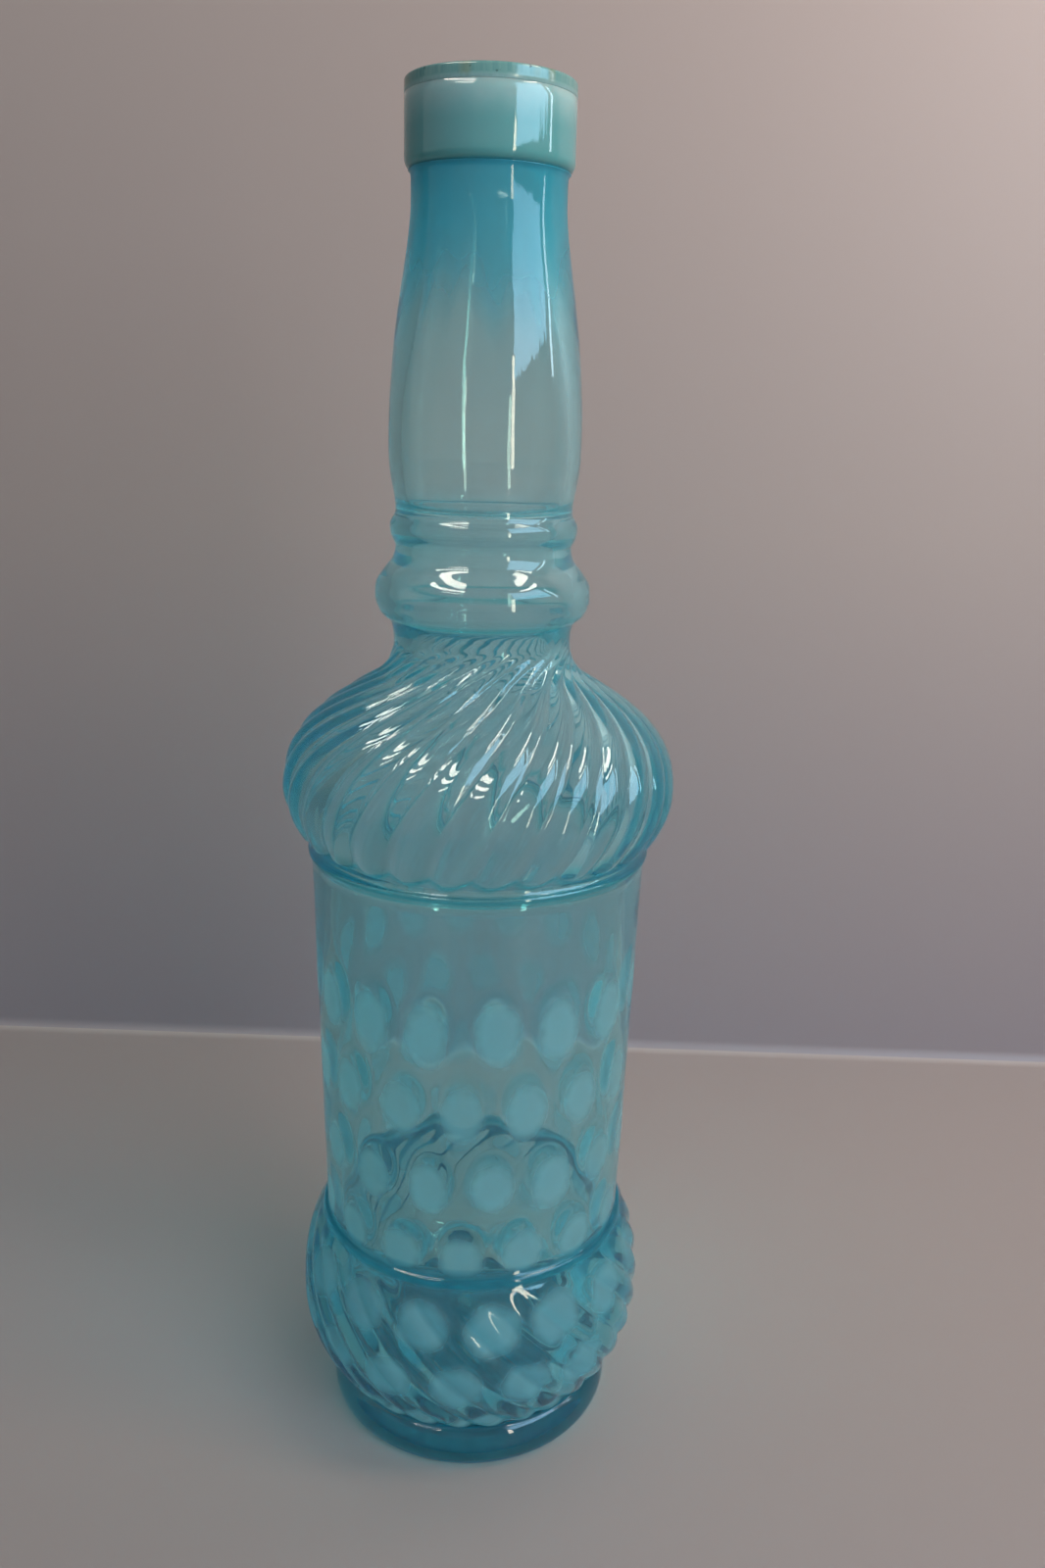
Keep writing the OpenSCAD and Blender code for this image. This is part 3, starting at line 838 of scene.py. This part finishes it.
def bottle_wall():
    """Wall of the bottle in one closed surface: outer outline with its ribs, then inner outline with its lenses.

    A point's radius outside is the outline's less the rib's depth, with waves and tooling ripples. Inside it is
    the outline's less the lens's height, with waves. A lens is a cap behind each spot with the height
    (1 - reach squared) to a power times its depth, which is less towards the back of the bottle.
    """
    column = np.arange(COLUMNS)[None, :]
    outer, inner = outer_outline(), inner_outline()
    outer_z, inner_z = outer[:, 1:], inner[:, 1:]
    outer_turn = 360 * column / COLUMNS + column_swirl(outer_z)
    inner_turn = 360 * column / COLUMNS + column_swirl(outer_z[-1])
    ridge = np.abs(np.cos(np.pi * RIBS * column / COLUMNS))
    outer_r = outer[:, :1] - rib_depth(ridge, outer_z)
    outer_r = outer_r + blown_waves(outer_turn, outer_z, 0) + tool_ripples(outer_z)
    lens, _ = spot_reach(inner_turn, inner[:, :1] + WALL, inner_z)
    lens_share = front_share(inner_turn, LENS_BACK)
    inner_r = inner[:, :1] - LENS_DEPTH * lens_share * np.clip(1 - lens ** 2, 0, 1) ** LENS_EDGE
    inner_r = inner_r + blown_waves(inner_turn, inner_z, INNER_WAVE_SHIFT)
    rows = np.concatenate([
        turned_points(outer_r, outer_turn, outer_z),
        turned_points(inner_r, inner_turn, inner_z),
    ])
    count = len(rows) * COLUMNS
    poles = np.array([[0, 0, PUNT_H], [0, 0, FLOOR_Z]])
    points = np.concatenate([rows.reshape(-1, 3), poles])
    triangles = np.concatenate([
        pole_faces(0, count, COLUMNS)[:, ::-1],
        pole_faces(count - COLUMNS, count + 1, COLUMNS),
    ])
    outside = outer_looks(outer, outer_turn, ridge)
    inside = inner_looks(inner, lens, lens_share)
    at_pole = dict.fromkeys(outside, 0.0) | {"spot_reach": FAR_REACH}
    attributes = {
        label: np.concatenate([outside[label].ravel(), inside[label].ravel(), np.full(len(poles), value)])
        for label, value in at_pole.items()
    }
    attributes["thin"] = HEEL_LIGHT + (1 - HEEL_LIGHT) * smooth_step(*LIGHT_IN, points[:, 2])
    quads = grid_faces(len(rows), COLUMNS)
    return add_mesh("bottle_wall", points, quads, struck_aqua_glass(), triangles, attributes)


def ring_piece(name, section, material):
    """Ring of glass: a closed section of radius and height rows, turned round the axis."""
    turn = 360 * np.arange(RING_COLUMNS)[None, :] / RING_COLUMNS
    points = turned_points(section[:, :1], turn, section[:, 1:]).reshape(-1, 3)
    quads = grid_faces(len(section) + 1, RING_COLUMNS) % len(points)
    return add_mesh(name, points, quads, material)


def lip_collar():
    """Opal collar: a band with a rounded lower edge and a plain top that the rim stands on."""
    low, high = COLLAR_Z, RIM_Z - SEAM
    tuck = (NECK_TOP_R - COLLAR_TUCK, low)
    side_low = (COLLAR_R, low + (COLLAR_R - NECK_TOP_R) + COLLAR_ROUND)
    side_high = (COLLAR_R, high - SEAM)
    top_edge = (COLLAR_R - SEAM, high)
    section = np.concatenate([
        straight((MOUTH_R, low), tuck, 3),
        bend(tuck, side_low, (0.6, 0), (1, 0.35), 10),
        straight(side_low, side_high, 6),
        straight(side_high, top_edge, 1),
        straight(top_edge, (MOUTH_R, high), 4),
        straight((MOUTH_R, high), (MOUTH_R, low), 6),
    ])
    return ring_piece("lip_collar_glass", section, opal_lip_glass())


def ground_rim():
    """Ground rim: a low ring with a narrow worn edge at the top."""
    low, high = RIM_Z, TOP_Z
    low_edge = (COLLAR_R - SEAM, low)
    side_low = (COLLAR_R, low + SEAM)
    side_high = (COLLAR_R, high - RIM_EDGE)
    top_outer = (COLLAR_R - RIM_EDGE, high)
    top_inner = (MOUTH_R + RIM_EDGE, high)
    bore_high = (MOUTH_R, high - RIM_EDGE)
    section = np.concatenate([
        straight((MOUTH_R, low), low_edge, 4),
        straight(low_edge, side_low, 1),
        straight(side_low, side_high, 3),
        bend(side_high, top_outer, (0, 0.55), (0.45, 1), 4),
        straight(top_outer, top_inner, 4),
        bend(top_inner, bore_high, (0.55, 0), (1, 0.45), 4),
        straight(bore_high, (MOUTH_R, low), 3),
    ])
    return ring_piece("ground_rim_glass", section, ground_rim_glass())


wall = bottle_wall()
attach(wall, "root")
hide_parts("foot", "base_bulge", "barrel", "ledge_ring", "shoulder", "large_neck_ring", "small_neck_ring",
            "neck", "barrel_spots_row_1", "barrel_spots_row_2", "barrel_spots_row_3", "barrel_spots_row_4",
            "bulge_spots_row_1", "bulge_spots_row_2")

collar = lip_collar()
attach(collar, "root")
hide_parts("lip_collar")

rim = ground_rim()
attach(rim, "root")
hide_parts("ground_rim")

# Stage: pale table that curves up into a pale wall behind the bottle
quarter = np.linspace(0, np.pi / 2, COVE_POINTS)
section = np.concatenate([
    [[FRONT, 0.0]],
    np.stack([BACK - COVE + COVE * np.sin(quarter), COVE - COVE * np.cos(quarter)], -1),
    [[BACK, WALL_TOP]],
])
left = np.insert(section, 0, -SIDE, axis=1)
right = np.insert(section, 0, SIDE, axis=1)
yaw_cos, yaw_sin = np.cos(STAGE_YAW), np.sin(STAGE_YAW)
stage_turn = np.array([[yaw_cos, -yaw_sin, 0], [yaw_sin, yaw_cos, 0], [0, 0, 1]])
stage_points = np.concatenate([left, right]) @ stage_turn
index = np.arange(len(section) - 1)
stage_quads = np.stack([index, index + len(section), index + len(section) + 1, index + 1], -1)
stage = add_mesh("stage", stage_points, stage_quads, matt_paint())

# World: a dim room, which the camera and the glass see as pale as the wall until light has been scattered
world = bpy.data.worlds.new("room")
room_tree = new_tree(world)
rays = add_node(room_tree, "ShaderNodeLightPath").outputs
glass_rays = add_node(
    room_tree, MATH, {0: rays["Is Glossy Ray"], 1: rays["Is Transmission Ray"]}, operation="ADD")
seen_rays = add_node(
    room_tree, MATH, {0: glass_rays, 1: rays["Is Camera Ray"]}, operation="ADD", use_clamp=True)
unscattered = add_node(room_tree, MATH, {0: rays["Diffuse Depth"], 1: 0.5}, operation="LESS_THAN")
direct_rays = add_node(room_tree, MATH, {0: seen_rays, 1: unscattered}, operation="MULTIPLY")
dim = add_node(room_tree, "ShaderNodeBackground", {"Color": linear("#b2b3b4"), "Strength": 0.52})
seen = add_node(room_tree, "ShaderNodeBackground", {"Color": linear("#a89e98"), "Strength": 1.2})
room = add_node(room_tree, MIX_SHADER, {0: direct_rays, 1: dim, 2: seen})
add_node(room_tree, "ShaderNodeOutputWorld", {"Surface": room})
bpy.context.scene.world = world


def soft_lamp(name, place, target, width, height, hex_colour, energy):
    """Soft rectangular lamp that lights the surfaces and doesn't show in the glass. Lengths are in metres."""
    data = bpy.data.lights.new(name, "AREA")
    data.shape = "RECTANGLE"
    data.size, data.size_y = width, height
    data.color = linear(hex_colour)[:3]
    data.energy = energy
    lamp = bpy.data.objects.new(name, data)
    facing = (Vector(target) - Vector(place)).to_track_quat("-Z", "Y")
    lamp.matrix_world = Matrix.Translation(place) @ facing.to_matrix().to_4x4()
    lamp.visible_camera = False
    lamp.visible_glossy = False
    lamp.visible_transmission = False
    bpy.context.scene.collection.objects.link(lamp)


soft_lamp("window", (0.54, -0.74, 0.62), (0, 0, 0.15), 0.6, 0.7, "#e6f0fb", 5.2)
soft_lamp("warm_wash", (0.34, -0.12, 0.52), (0.32, 0.16, 0.47), 0.4, 0.3, "#ffdcc0", 1.9)

# Light cards on a sphere with this radius and height of its middle, as a grid of rows and columns: azimuths from
# the camera's side, elevations of the lower edge's ends and of the top, colour, glow, whether a ray that comes
# out of the glass sees the card, and how ragged its edges are
CARD_R = 900.0
CARD_Z = 220.0
CARD_ROWS, CARD_COLUMNS = 41, 61
CARDS = (
    ("sky", (34, 79), (9.5, 14.0), 44, "#b4e2ff", 8.5, False, 1.5),
    ("near_gap", (30, 33.5), (-12, -12), 13.5, "#fff6dc", 16.0, True, 0.7),
    ("far_gap", (84, 87), (8, 8), 40, "#dcf2ff", 12.0, False, 0.3),
    ("left_slat_low", (-52, -24), (38, 38), 41, "#fff6e6", 22.0, False, 0.4),
    ("left_slat_mid", (-80, -24), (47, 47), 51, "#fff6e6", 22.0, False, 0.4),
    ("left_slat_high", (-100, -28), (56, 56), 62, "#fff6e6", 20.0, False, 0.4),
    ("right_slat_low", (52, 84), (47, 47), 50, "#fff6e6", 22.0, False, 0.4),
    ("right_slat_high", (56, 115), (55, 55), 61, "#fff6e6", 20.0, False, 0.4),
)


def glowing_card(name, hex_colour, glow):
    """Evenly glowing card, seen only in the glass."""
    material = bpy.data.materials.new(name)
    tree = new_tree(material)
    shader = add_node(tree, "ShaderNodeEmission", {"Color": linear(hex_colour), "Strength": glow})
    add_node(tree, OUTPUT, {"Surface": shader})
    return material


def light_card(name, azimuths, low, high, hex_colour, glow, through_glass, ragged):
    """Patch of a sphere round the bottle, a grid of azimuth and elevation, that shows only in the glass.

    Its lower edge runs from one elevation at the first azimuth to another at the last one. Its lower edge and the
    side at the first azimuth stray at random by up to ragged degrees, like leaves before the sky.
    """
    across = np.linspace(0, 1, CARD_COLUMNS)[None, :]
    up_share = np.linspace(0, 1, CARD_ROWS)[:, None]
    azimuth = azimuths[0] + (azimuths[1] - azimuths[0]) * across
    azimuth = azimuth + ragged * rng.uniform(-1, 1, (CARD_ROWS, 1)) * (1 - across)
    lower = low[0] + (low[1] - low[0]) * across + ragged * rng.uniform(-1, 1, (1, CARD_COLUMNS))
    elevation = np.radians(lower + (high - lower) * up_share)
    points = turned_points(CARD_R * np.cos(elevation), azimuth, CARD_Z + CARD_R * np.sin(elevation))
    row, column = np.meshgrid(np.arange(CARD_ROWS - 1), np.arange(CARD_COLUMNS - 1), indexing="ij")
    corner = row * CARD_COLUMNS + column
    above = corner + CARD_COLUMNS
    quads = np.stack([corner, above, above + 1, corner + 1], -1).reshape(-1, 4)
    card = add_mesh(name, points.reshape(-1, 3), quads, glowing_card(name, hex_colour, glow))
    card.visible_camera = False
    card.visible_diffuse = False
    card.visible_transmission = through_glass
    card.visible_shadow = False


for card_values in CARDS:
    light_card(*card_values)

# Camera, fitted to the ellipses of the rim, collar, ledge and foot in a picture 1600 pixels high
PICTURE_H = 1600
FOCAL_PIXELS = 1300
SENSOR = 36
PITCH, ROLL, YAW = np.radians((16.5, 1.55, 2.02))
CAMERA_AT = Vector((0, -247.7, 216.0)) * MM
level = Vector((np.sin(YAW), np.cos(YAW), 0))
side = Vector((np.cos(YAW), -np.sin(YAW), 0))
up = Vector((0, 0, 1))
ahead = level * np.cos(PITCH) - up * np.sin(PITCH)
above = level * np.sin(PITCH) + up * np.cos(PITCH)
picture_right = side * np.cos(ROLL) + above * np.sin(ROLL)
picture_up = above * np.cos(ROLL) - side * np.sin(ROLL)
camera_data = bpy.data.cameras.new("camera")
camera_data.lens = FOCAL_PIXELS / PICTURE_H * SENSOR
camera_data.sensor_width = SENSOR
camera_data.clip_start = 10 * MM
camera = bpy.data.objects.new("camera", camera_data)
turned = Matrix((picture_right, picture_up, -ahead)).transposed().to_4x4()
camera.matrix_world = Matrix.Translation(CAMERA_AT) @ turned
bpy.context.scene.collection.objects.link(camera)
bpy.context.scene.camera = camera
bpy.context.scene.view_settings.view_transform = "Standard"

# Light takes many turns inside the glass before it comes out
bpy.context.scene.cycles.max_bounces = 32
bpy.context.scene.cycles.glossy_bounces = 24
bpy.context.scene.cycles.transmission_bounces = 32
bpy.context.scene.cycles.transparent_max_bounces = 16
